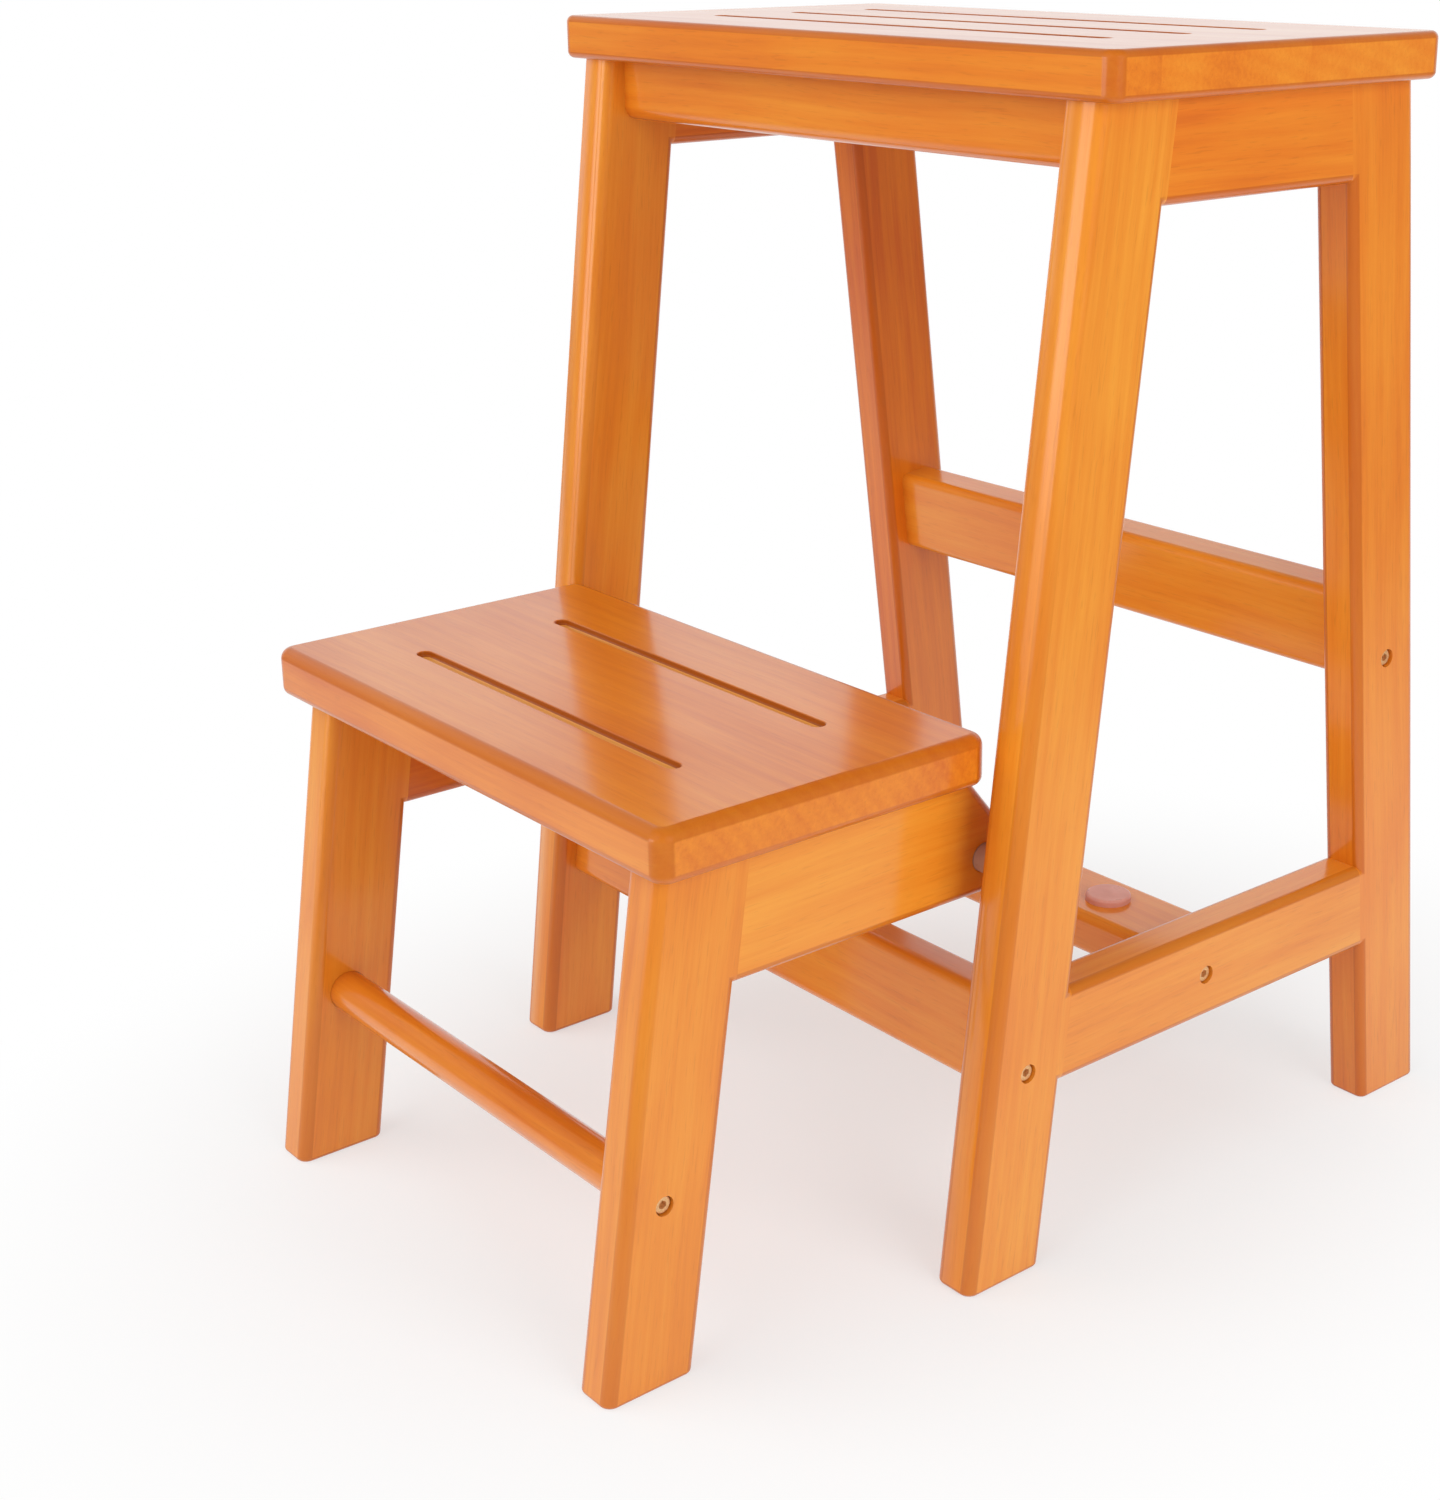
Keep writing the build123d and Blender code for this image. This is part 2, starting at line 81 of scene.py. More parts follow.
def linear(hex_colour, depth=1.0):
    """An sRGB hex colour as linear RGBA. A stain's depth above 1 deepens it as a thicker coat does."""
    channels = [int(hex_colour[i : i + 2], 16) / 255 for i in (1, 3, 5)]
    light = [c / 12.92 if c <= 0.04045 else ((c + 0.055) / 1.055) ** 2.4 for c in channels]
    return (*[c**depth for c in light], 1.0)


def add(tree, kind, inputs=None, **settings):
    """Add a node, set it up, and feed its inputs with values or with other nodes' outputs."""
    made = tree.nodes.new(kind)
    for name, value in settings.items():
        setattr(made, name, value)
    for key, value in (inputs or {}).items():
        if isinstance(value, bpy.types.NodeSocket):
            tree.links.new(value, made.inputs[key])
        else:
            made.inputs[key].default_value = value
    return made


def new_material(name):
    """An empty material, its node tree and its Object coordinates."""
    material = bpy.data.materials.new(name)
    material.use_nodes = True
    tree = material.node_tree
    tree.nodes.clear()
    return material, tree, add(tree, "ShaderNodeTexCoord").outputs["Object"]


def per(*sizes):
    """The scale at which one unit of a pattern measures these sizes, in millimetres."""
    return tuple(1 / (MM * size) for size in sizes)


def stained_wood(name, turn, depth, tone, start, stave):
    """Rubberwood, planed, stained honey and sprayed with satin lacquer.

    Gives the eye an even orange with soft streaks along the board, faint rings, short dark pores,
    rounded edges darkened partly by deeper stain and partly as painted shade, painted shade on the walls
    of a groove and painted light on its floor, and a smooth film that mirrors bright things softly.
    """
    material, tree, place = new_material(name)
    board = add(tree, "ShaderNodeMapping", {"Vector": place, "Location": start, "Rotation": turn}).outputs[0]
    if stave:
        # Edge-glued staves: each has its own stretch of grain and its own tone
        width, offset = stave
        across = add(tree, "ShaderNodeSeparateXYZ", {0: board}).outputs["Y"]
        count = add(tree, "ShaderNodeMath", {0: across, 1: offset}, operation="SUBTRACT").outputs[0]
        count = add(tree, "ShaderNodeMath", {0: count, 1: width}, operation="DIVIDE").outputs[0]
        index = add(tree, "ShaderNodeMath", {0: count}, operation="FLOOR").outputs[0]
        chance = add(tree, "ShaderNodeTexWhiteNoise", {"W": index}, noise_dimensions="1D")
        shift = add(
            tree,
            "ShaderNodeVectorMath",
            {0: chance.outputs["Color"], "Scale": 0.5},
            operation="SCALE",
        ).outputs[0]
        board = add(tree, "ShaderNodeVectorMath", {0: board, 1: shift}, operation="ADD").outputs[0]

    # The fibres wander by a few millimetres along a board
    long = add(tree, "ShaderNodeMapping", {"Vector": board, "Scale": per(160, 60, 60)}).outputs[0]
    sway = add(tree, "ShaderNodeTexNoise", {"Vector": long, "Scale": 1.0, "Detail": 1.0}).outputs["Color"]
    sway = add(tree, "ShaderNodeVectorMath", {0: sway, 1: (0.5, 0.5, 0.5)}, operation="SUBTRACT").outputs[0]
    sway = add(tree, "ShaderNodeVectorMath", {0: sway, "Scale": 8 * MM}, operation="SCALE").outputs[0]
    wavy = add(tree, "ShaderNodeVectorMath", {0: board, 1: sway}, operation="ADD").outputs[0]

    # Growth rings 7 mm apart round a heart that lies beside the board, slightly out of line with it
    ringed = add(
        tree,
        "ShaderNodeMapping",
        {"Vector": wavy, "Location": (0.0, 0.055, 0.048), "Rotation": (0.0, 0.022, 0.03)},
    ).outputs[0]
    rings = add(
        tree,
        "ShaderNodeTexWave",
        {
            "Vector": ringed,
            "Scale": math.tau / 20 / (7 * MM),
            "Distortion": 1.6,
            "Detail": 2.0,
            "Detail Scale": 0.25,
        },
        wave_type="RINGS",
        rings_direction="X",
        wave_profile="SIN",
    ).outputs["Fac"]

    # Streaks of fibre 2 mm wide, drawn coarser than real fibre so that they show
    thin = add(tree, "ShaderNodeMapping", {"Vector": wavy, "Scale": per(70, 2, 2)}).outputs[0]
    fibres = add(
        tree,
        "ShaderNodeTexNoise",
        {"Vector": thin, "Scale": 1.0, "Detail": 3.0, "Roughness": 0.6},
    ).outputs["Fac"]
    # Clouds in the stain, a hand's breadth long
    broad = add(tree, "ShaderNodeMapping", {"Vector": board, "Scale": per(110, 34, 34)}).outputs[0]
    clouds = add(tree, "ShaderNodeTexNoise", {"Vector": broad, "Scale": 1.0, "Detail": 2.0}).outputs["Fac"]
    # Pores 10 mm long and 0.7 mm wide, about twice their real width so that they show
    short = add(tree, "ShaderNodeMapping", {"Vector": wavy, "Scale": per(10, 0.7, 0.7)}).outputs[0]
    pores = add(tree, "ShaderNodeTexNoise", {"Vector": short, "Scale": 1.0, "Detail": 1.0}).outputs["Fac"]
    pores = add(
        tree,
        "ShaderNodeMapRange",
        {"Value": pores, "From Min": 0.6, "From Max": 0.74, "To Min": 0.0, "To Max": 1.0},
    ).outputs["Result"]

    figure = add(tree, "ShaderNodeMath", {0: rings, 1: 0.08, 2: tone}, operation="MULTIPLY_ADD").outputs[0]
    figure = add(tree, "ShaderNodeMath", {0: fibres, 1: 0.42, 2: figure}, operation="MULTIPLY_ADD").outputs[0]
    figure = add(tree, "ShaderNodeMath", {0: clouds, 1: 0.62, 2: figure}, operation="MULTIPLY_ADD").outputs[0]
    if stave:
        figure = add(
            tree,
            "ShaderNodeMath",
            {0: chance.outputs["Value"], 1: -0.1, 2: figure},
            operation="MULTIPLY_ADD",
        ).outputs[0]
    stain = add(tree, "ShaderNodeValToRGB", {"Fac": figure})
    stops = stain.color_ramp.elements
    stops[0].position, stops[0].color = 0.3, linear("#F39E31", depth)
    stops[1].position, stops[1].color = 0.95, linear("#D66C18", depth)
    middle = stops.new(0.6)
    middle.color = linear("#EA8921", depth)

    # Stain sinks into pores. Rounded edges darken, partly as deeper stain and partly as painted shade.
    # A groove's walls get painted shade and its floor painted light
    arris = add(tree, "ShaderNodeAttribute", attribute_name="arris").outputs["Fac"]
    groove = add(tree, "ShaderNodeAttribute", attribute_name="groove").outputs["Fac"]
    sunk = add(tree, "ShaderNodeMath", {0: pores, 1: 0.14}, operation="MULTIPLY").outputs[0]
    # Rounded edges darker, partly as deeper stain and partly as painted shade
    edge_stain_and_shade = add(tree, "ShaderNodeMath", {0: arris, 1: 0.6}, operation="MULTIPLY").outputs[0]
    # Painted shade on a groove's walls and painted light on its floor
    wall = add(tree, "ShaderNodeMapRange", {"Value": groove, "To Max": 0.75}).outputs["Result"]
    painted_light_groove_floor = add(
        tree, "ShaderNodeMapRange", {"Value": groove, "From Max": -1.0, "To Max": 0.75}
    ).outputs["Result"]
    colour = stain.outputs["Color"]
    for share, tint in ((sunk, "#A04C10"), (edge_stain_and_shade, "#BF5E0D"), (wall, "#9C480A"), (painted_light_groove_floor, "#FFB95C")):
        colour = add(
            tree,
            "ShaderNodeMix",
            {0: share, 6: colour, 7: linear(tint, depth)},
            data_type="RGBA",
        ).outputs[2]

    # The lacquer is a little thinner and duller on rounded edges
    film = add(tree, "ShaderNodeMapRange", {"Value": arris, "To Min": 0.9, "To Max": 0.8}).outputs["Result"]
    blur = add(tree, "ShaderNodeMapRange", {"Value": arris, "To Min": 0.14, "To Max": 0.2}).outputs["Result"]

    rough = add(
        tree,
        "ShaderNodeMapRange",
        {"Value": clouds, "From Min": 0.3, "From Max": 0.7, "To Min": 0.34, "To Max": 0.42},
    ).outputs["Result"]
    height = add(tree, "ShaderNodeMath", {0: pores, 1: -0.6, 2: fibres}, operation="MULTIPLY_ADD").outputs[0]
    bump = add(tree, "ShaderNodeBump", {"Height": height, "Strength": 0.12, "Distance": 0.15 * MM})
    shader = add(
        tree,
        "ShaderNodeBsdfPrincipled",
        {
            "Base Color": colour,
            "Roughness": rough,
            "IOR": 1.5,
            "Specular IOR Level": 0.2,
            "Coat Weight": film,
            "Coat Roughness": blur,
            "Normal": bump.outputs["Normal"],
        },
    )
    add(tree, "ShaderNodeOutputMaterial", {"Surface": shader.outputs[0]})
    return material


def plain_beech():
    """Beech, turned and left raw, for the dowels: pale and matt, with short darker flecks along the rod."""
    material, tree, place = new_material("raw_beech")
    flecks = add(
        tree,
        "ShaderNodeTexNoise",
        {"Vector": place, "Scale": 1 / (3 * MM), "Detail": 3.0},
    ).outputs["Fac"]
    colour = add(tree, "ShaderNodeValToRGB", {"Fac": flecks})
    colour.color_ramp.elements[0].color = linear("#D9BA8E")
    colour.color_ramp.elements[1].color = linear("#B98F5F")
    bump = add(tree, "ShaderNodeBump", {"Height": flecks, "Strength": 0.2, "Distance": 0.1 * MM})
    shader = add(
        tree,
        "ShaderNodeBsdfPrincipled",
        {"Base Color": colour.outputs[0], "Roughness": 0.7, "Normal": bump.outputs["Normal"]},
    )
    add(tree, "ShaderNodeOutputMaterial", {"Surface": shader.outputs[0]})
    return material


def metal(name, bright, dull, metallic, rough_low, rough_high, grit):
    """A plated or turned metal: mottled between two tones, with the gloss broken up by fine grit.

    A yellow chromate film on zinc is partly clear, so it shows less as a mirror than bare metal does.
    """
    material, tree, place = new_material(name)
    mottle = add(
        tree,
        "ShaderNodeTexNoise",
        {"Vector": place, "Scale": 1 / (grit * MM), "Detail": 4.0},
    ).outputs["Fac"]
    colour = add(tree, "ShaderNodeValToRGB", {"Fac": mottle})
    colour.color_ramp.elements[0].position = 0.3
    colour.color_ramp.elements[0].color = linear(bright)
    colour.color_ramp.elements[1].position = 0.75
    colour.color_ramp.elements[1].color = linear(dull)
    rough = add(
        tree,
        "ShaderNodeMapRange",
        {"Value": mottle, "From Min": 0.3, "From Max": 0.7, "To Min": rough_low, "To Max": rough_high},
    ).outputs["Result"]
    bump = add(tree, "ShaderNodeBump", {"Height": mottle, "Strength": 0.1, "Distance": 0.05 * MM})
    shader = add(
        tree,
        "ShaderNodeBsdfPrincipled",
        {
            "Base Color": colour.outputs[0],
            "Metallic": metallic,
            "Roughness": rough,
            "Normal": bump.outputs["Normal"],
        },
    )
    add(tree, "ShaderNodeOutputMaterial", {"Surface": shader.outputs[0]})
    return material


def moulded(name, body, worn, rough_low, rough_high, grit):
    """A moulded plastic or rubber: one colour with slight clouds, and a fine orange-peel skin."""
    material, tree, place = new_material(name)
    clouds = add(
        tree,
        "ShaderNodeTexNoise",
        {"Vector": place, "Scale": 1 / (9 * MM), "Detail": 2.0},
    ).outputs["Fac"]
    peel = add(
        tree,
        "ShaderNodeTexNoise",
        {"Vector": place, "Scale": 1 / (grit * MM), "Detail": 1.0},
    ).outputs["Fac"]
    colour = add(tree, "ShaderNodeValToRGB", {"Fac": clouds})
    colour.color_ramp.elements[0].position = 0.3
    colour.color_ramp.elements[0].color = linear(body)
    colour.color_ramp.elements[1].position = 0.8
    colour.color_ramp.elements[1].color = linear(worn)
    rough = add(
        tree,
        "ShaderNodeMapRange",
        {"Value": clouds, "From Min": 0.3, "From Max": 0.7, "To Min": rough_low, "To Max": rough_high},
    ).outputs["Result"]
    bump = add(tree, "ShaderNodeBump", {"Height": peel, "Strength": 0.1, "Distance": 0.05 * MM})
    shader = add(
        tree,
        "ShaderNodeBsdfPrincipled",
        {"Base Color": colour.outputs[0], "Roughness": rough, "IOR": 1.5, "Normal": bump.outputs["Normal"]},
    )
    add(tree, "ShaderNodeOutputMaterial", {"Surface": shader.outputs[0]})
    return material


def settle(piece):
    """Turn a piece's modifiers into plain mesh."""
    evaluated = piece.evaluated_get(bpy.context.evaluated_depsgraph_get())
    made = bpy.data.meshes.new_from_object(evaluated)
    made.name = piece.data.name
    piece.modifiers.clear()
    piece.data = made


def round_front(mesh):
    """Shade a front leg's narrow front face as if it were slightly round. The mesh itself stays flat."""
    front = Vector((0.0, -math.cos(LEG_LEAN), math.sin(LEG_LEAN)))
    sides = [corner.co.x for corner in mesh.vertices]
    middle = (min(sides) + max(sides)) / 2
    on_front = {v for face in mesh.polygons if face.normal.dot(front) > SAME_WAY for v in face.vertices}
    normals = [corner.vector.copy() for corner in mesh.corner_normals]
    for loop in mesh.loops:
        if loop.vertex_index in on_front and normals[loop.index].dot(front) > SAME_WAY:
            side = math.copysign(math.sin(ROUNDING), mesh.vertices[loop.vertex_index].co.x - middle)
            normals[loop.index] = (front * math.cos(ROUNDING) + Vector((side, 0.0, 0.0))).normalized()
    mesh.normals_split_custom_set(normals)


def finished_board(node, body, material, turn):
    """A smooth-shaded board in place of a CAD node, marked for the stain.

    Its rounded edges are its arris. A point in a groove carries 1 on the groove's wall, which the stain
    darkens as painted shade, and -1 on its floor, which it lightens as painted light.
    """
    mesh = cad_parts[node].data.copy()
    mesh.name = f"{node}_finished"
    shape = bmesh.new()
    shape.from_mesh(mesh)
    bmesh.ops.remove_doubles(shape, verts=shape.verts, dist=ONE_POINT)
    axes = [row.copy() for row in Euler(turn).to_matrix()] + [Vector((0, 0, 1))]
    arris = shape.verts.layers.float.new("arris")
    for corner in shape.verts:
        corner[arris] = 1.0
    for face in shape.faces:
        face.smooth = True
        if max(abs(face.normal.dot(axis)) for axis in axes) > SAME_WAY:
            for corner in face.verts:
                corner[arris] = 0.0
    groove = shape.verts.layers.float.new("groove")
    if node in GROOVED:
        xs, ys, zs = zip(*[corner.co for corner in shape.verts])
        min_x, max_x, min_y, max_y, top = min(xs), max(xs), min(ys), max(ys), max(zs)
        for corner in shape.verts:
            x, y, z = corner.co
            inset = min(x - min_x, max_x - x, y - min_y, max_y - y)
            # 0 at the board's top and 1 at the groove's floor
            down = (top - z) / GROOVE_DEPTH
            if inset > GROOVE_INSET and 0.1 < down < 1.1:
                corner[groove] = -1.0 if down > 0.95 else 1.0
                # A groove's wall also counts as arris, so it takes the rounded edges' darker colour: painted
                # shade
                corner[arris] = max(corner[groove], 0.0)
    for edge in shape.edges:
        edge.smooth = len(edge.link_faces) == 2 and edge.calc_face_angle() < HARD_EDGE
    shape.to_mesh(mesh)
    shape.free()
    mesh.materials.clear()
    mesh.materials.append(material)
    piece = bpy.data.objects.new(f"{node}_finished", mesh)
    scene.collection.objects.link(piece)
    weighted = piece.modifiers.new("flat faces stay flat", "WEIGHTED_NORMAL")
    weighted.keep_sharp = True
    settle(piece)
    if node in ROUNDED:
        round_front(piece.data)
    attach(piece, body)
    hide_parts(node)


def screw_tree():
    """Socket-head screws at the points of a mesh, the middle of each head's top on its point."""
    tree = bpy.data.node_groups.new("socket_screws", "GeometryNodeTree")

    def hang(drum, upper, lower):
        """Hang a drum between two depths below the point."""
        ends = add(tree, "ShaderNodeMath", {0: lower, 1: upper}, operation="ADD").outputs[0]
        middle = add(tree, "ShaderNodeMath", {0: ends, 1: -0.5}, operation="MULTIPLY").outputs[0]
        lowered = add(tree, "ShaderNodeCombineXYZ", {"Z": middle}).outputs[0]
        return add(tree, "GeometryNodeTransform", {"Geometry": drum, "Translation": lowered}).outputs[0]

    face = tree.interface
    face.new_socket("Geometry", in_out="INPUT", socket_type="NodeSocketGeometry")
    for name, default in (
        ("Head radius", 3.6 * MM),
        ("Head height", 3.6 * MM),
        ("Rim chamfer", 0.4 * MM),
        ("Socket radius", 1.8 * MM),
        ("Socket depth", 2.4 * MM),
        ("Shank radius", 2.5 * MM),
        ("Length", 50.0 * MM),
    ):
        made = face.new_socket(name, in_out="INPUT", socket_type="NodeSocketFloat")
        made.default_value = default
    face.new_socket("Finish", in_out="INPUT", socket_type="NodeSocketMaterial")
    face.new_socket("Geometry", in_out="OUTPUT", socket_type="NodeSocketGeometry")
    sizes = tree.nodes.new("NodeGroupInput").outputs
    head_height, rim_chamfer, length = sizes["Head height"], sizes["Rim chamfer"], sizes["Length"]

    # Head: a short drum whose rim is drawn in to a chamfer
    drum_height = add(
        tree, "ShaderNodeMath", {0: head_height, 1: rim_chamfer}, operation="SUBTRACT"
    ).outputs[0]
    drum = add(
        tree,
        "GeometryNodeMeshCylinder",
        {"Vertices": 32, "Radius": sizes["Head radius"], "Depth": drum_height},
    ).outputs
    rim = add(
        tree,
        "GeometryNodeExtrudeMesh",
        {"Mesh": drum["Mesh"], "Selection": drum["Top"], "Offset Scale": rim_chamfer, "Individual": False},
        mode="FACES",
    ).outputs
    lost = add(
        tree, "ShaderNodeMath", {0: rim_chamfer, 1: sizes["Head radius"]}, operation="DIVIDE"
    ).outputs[0]
    kept = add(tree, "ShaderNodeMath", {0: 1.0, 1: lost}, operation="SUBTRACT").outputs[0]
    head = add(
        tree,
        "GeometryNodeScaleElements",
        {"Geometry": rim["Mesh"], "Selection": rim["Top"], "Scale": kept},
        domain="FACE",
    ).outputs[0]
    head = hang(head, rim_chamfer, head_height)

    # Hexagon socket, cut through the top of the head
    key_length = add(
        tree, "ShaderNodeMath", {0: sizes["Socket depth"], 1: 2.0}, operation="MULTIPLY"
    ).outputs[0]
    key = add(
        tree,
        "GeometryNodeMeshCylinder",
        {"Vertices": 6, "Radius": sizes["Socket radius"], "Depth": key_length},
    ).outputs["Mesh"]
    head = add(
        tree,
        "GeometryNodeMeshBoolean",
        {"Mesh 1": head, "Mesh 2": key},
        operation="DIFFERENCE",
        solver="EXACT",
    ).outputs["Mesh"]

    # Shank, from the head to the screw's end
    shank_length = add(tree, "ShaderNodeMath", {0: length, 1: head_height}, operation="SUBTRACT").outputs[0]
    shank = add(
        tree,
        "GeometryNodeMeshCylinder",
        {"Vertices": 24, "Radius": sizes["Shank radius"], "Depth": shank_length},
    ).outputs["Mesh"]
    shank = hang(shank, head_height, length)
    screw = add(tree, "GeometryNodeJoinGeometry")
    tree.links.new(shank, screw.inputs[0])
    tree.links.new(head, screw.inputs[0])

    facing = add(
        tree, "GeometryNodeInputNamedAttribute", {"Name": "facing"}, data_type="FLOAT_VECTOR"
    ).outputs[0]
    turned = add(tree, "FunctionNodeAlignRotationToVector", {"Vector": facing}, axis="Z").outputs[0]
    points = add(tree, "GeometryNodeMeshToPoints", {"Mesh": sizes["Geometry"]}).outputs[0]
    placed = add(
        tree,
        "GeometryNodeInstanceOnPoints",
        {"Points": points, "Instance": screw.outputs[0], "Rotation": turned},
    ).outputs[0]
    plain = add(tree, "GeometryNodeRealizeInstances", {"Geometry": placed}).outputs[0]
    done = add(tree, "GeometryNodeSetMaterial", {"Geometry": plain, "Material": sizes["Finish"]}).outputs[0]
    add(tree, "NodeGroupOutput", {"Geometry": done})
    return tree


def screws(node, body, places, tree, finish, length, recess):
    """One body's screws in place of their CAD node, sizes in millimetres.

    Each place is the mouth of a hole and the way it faces; the recess is how deep the head lies in it.
    """
    tops = [tuple(MM * (p - recess * f) for p, f in zip(point, facing)) for point, facing in places]
    mesh = bpy.data.meshes.new(f"{node}_finished")
    mesh.from_pydata(tops, [], [])
    facing = mesh.attributes.new("facing", "FLOAT_VECTOR", "POINT")
    for item, (_, direction) in zip(facing.data, places):
        item.vector = direction
    piece = bpy.data.objects.new(f"{node}_finished", mesh)
    scene.collection.objects.link(piece)
    maker = piece.modifiers.new("socket screws", "NODES")
    maker.node_group = tree
    ids = {item.name: item.identifier for item in tree.interface.items_tree if item.in_out == "INPUT"}
    maker[ids["Finish"]] = finish
    maker[ids["Length"]] = length * MM
    settle(piece)
    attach(piece, body)
    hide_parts(node)


# Wood of each board: its body, the turn of its grain, the stain's depth, its own tone (more is darker),
# the start of its grain, and the width of its staves with the place of one joint
# Some depths and tones also darken boards that get less light, such as the near rear leg and the step bar:
# painted shade
BOARDS = {
    "seat_board": ("seat_frame", ACROSS, 1.1, 0.0, (0.31, 0.0, 0.12), (82 * MM, 87.3 * MM)),
    "front_leg_left": ("seat_frame", UP_FRONT_LEG, 1.0, -0.05, (0.9, 0.21, 0.4), None),
    "front_leg_right": ("seat_frame", UP_FRONT_LEG, 1.0, -0.05, (0.4, 0.74, 0.1), None),
    "rear_leg_left": ("seat_frame", UP_REAR_LEG, 1.08, 0.2, (1.7, 0.33, 0.8), None),
    "rear_leg_right": ("seat_frame", UP_REAR_LEG, 1.1, -0.05, (1.2, 0.05, 0.6), None),
    "top_rail_left": ("seat_frame", FRONT_TO_BACK, 1.1, 0.0, (2.1, 0.47, 0.3), None),
    "top_rail_right": ("seat_frame", FRONT_TO_BACK, 1.16, 0.0, (2.6, 0.88, 0.9), None),
    "side_rail_left": ("seat_frame", FRONT_TO_BACK, 1.0, 0.0, (3.3, 0.12, 0.5), None),
    "side_rail_right": ("seat_frame", FRONT_TO_BACK, 0.97, 0.0, (3.9, 0.64, 0.2), None),
    "front_apron": ("seat_frame", ACROSS, 1.06, 0.0, (4.4, 0.29, 0.7), None),
    "rear_apron": ("seat_frame", ACROSS, 1.04, 0.0, (4.9, 0.91, 0.0), None),
    "front_cross_rail": ("seat_frame", ACROSS, 1.0, 0.0, (5.2, 0.38, 0.4), None),
    "rear_cross_rail": ("seat_frame", ACROSS, 1.0, 0.0, (5.8, 0.52, 0.8), None),
    "rest_board": ("seat_frame", ACROSS, 0.96, 0.0, (6.1, 0.17, 0.1), None),
    "step_tread": ("lower_step", ACROSS, 1.0, 0.15, (6.7, 0.83, 0.6), None),
    "step_leg_left": ("lower_step", UP_STEP_LEG, 0.97, 0.0, (7.3, 0.41, 0.3), None),
    "step_leg_right": ("lower_step", UP_STEP_LEG, 0.97, 0.05, (7.8, 0.08, 0.9), None),
    "step_arm_left": ("lower_step", FRONT_TO_BACK, 1.03, 0.15, (8.2, 0.69, 0.5), None),
    "step_arm_right": ("lower_step", FRONT_TO_BACK, 0.98, -0.08, (8.8, 0.24, 0.2), None),
    "step_bar": ("lower_step", ACROSS, 0.98, 0.2, (9.4, 0.56, 0.7), None),
}
for node, (body, turn, depth, tone, start, stave) in BOARDS.items():
    wood = stained_wood(f"stained_wood_{node}", turn, depth, tone, start, stave)
    finished_board(node, body, wood, turn)

# Grit in millimetres
steel = metal(
    "yellow_zinc_plated_steel", "#FCD09A", "#E2AC6C", metallic=0.5, rough_low=0.4, rough_high=0.55, grit=0.8
)
brass = metal("turned_brass", "#D9B867", "#AD8740", metallic=1.0, rough_low=0.25, rough_high=0.4, grit=1.2)
nylon = moulded("natural_nylon", "#C79C85", "#B5866E", rough_low=0.37, rough_high=0.47, grit=0.6)
rubber = moulded("pink_brown_rubber", "#E8A99A", "#D89686", rough_low=0.25, rough_high=0.35, grit=0.7)
beech = plain_beech()

# Screw places in millimetres on the right-hand side, mirrored to the left
FRAME_SCREWS = [(160.5, -39.184, 90.5), (160.5, 174.549, 217.0), (160.5, 65.289, 100.5)]
STEP_SCREWS = [(127.0, -191.751, 76.3)]
SEAT_SCREWS = [(100.0, 3.867, 435.5), (100.0, 146.711, 435.5)]
in_frame = [((side * x, y, z), (side, 0, 0)) for x, y, z in FRAME_SCREWS for side in (1, -1)]
in_step = [((side * x, y, z), (side, 0, 0)) for x, y, z in STEP_SCREWS for side in (1, -1)]
in_aprons = [((side * x, y, z), (0, 0, -1)) for x, y, z in SEAT_SCREWS for side in (1, -1)]
screw = screw_tree()
screws("frame_screws", "seat_frame", in_frame, screw, steel, length=50, recess=1.4)
screws("step_screws", "lower_step", in_step, screw, steel, length=40, recess=1.4)
screws("seat_screws", "seat_frame", in_aprons, screw, steel, length=30, recess=4)

for node, finish in {
    "rest_bumpers": rubber,
    "frame_dowels": beech,
    "step_dowels": beech,
    "pivot_bolts": steel,
    "pivot_spacers": nylon,
    "pivot_bushes": nylon,
    "pivot_inserts": brass,
}.items():
    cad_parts[node].data.materials.clear()
    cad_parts[node].data.materials.append(finish)


def seen_white(tree, share):
    """How white the background is seen: fully by the camera, by this share in mirrors and glass, else not."""
    path = add(tree, "ShaderNodeLightPath").outputs
    mirrored = add(
        tree,
        "ShaderNodeMath",
        {0: path["Is Glossy Ray"], 1: path["Is Transmission Ray"]},
        operation="MAXIMUM",
    ).outputs[0]
    mirrored = add(tree, "ShaderNodeMath", {0: mirrored, 1: share}, operation="MULTIPLY").outputs[0]
    return add(
        tree, "ShaderNodeMath", {0: path["Is Camera Ray"], 1: mirrored}, operation="MAXIMUM"
    ).outputs[0]


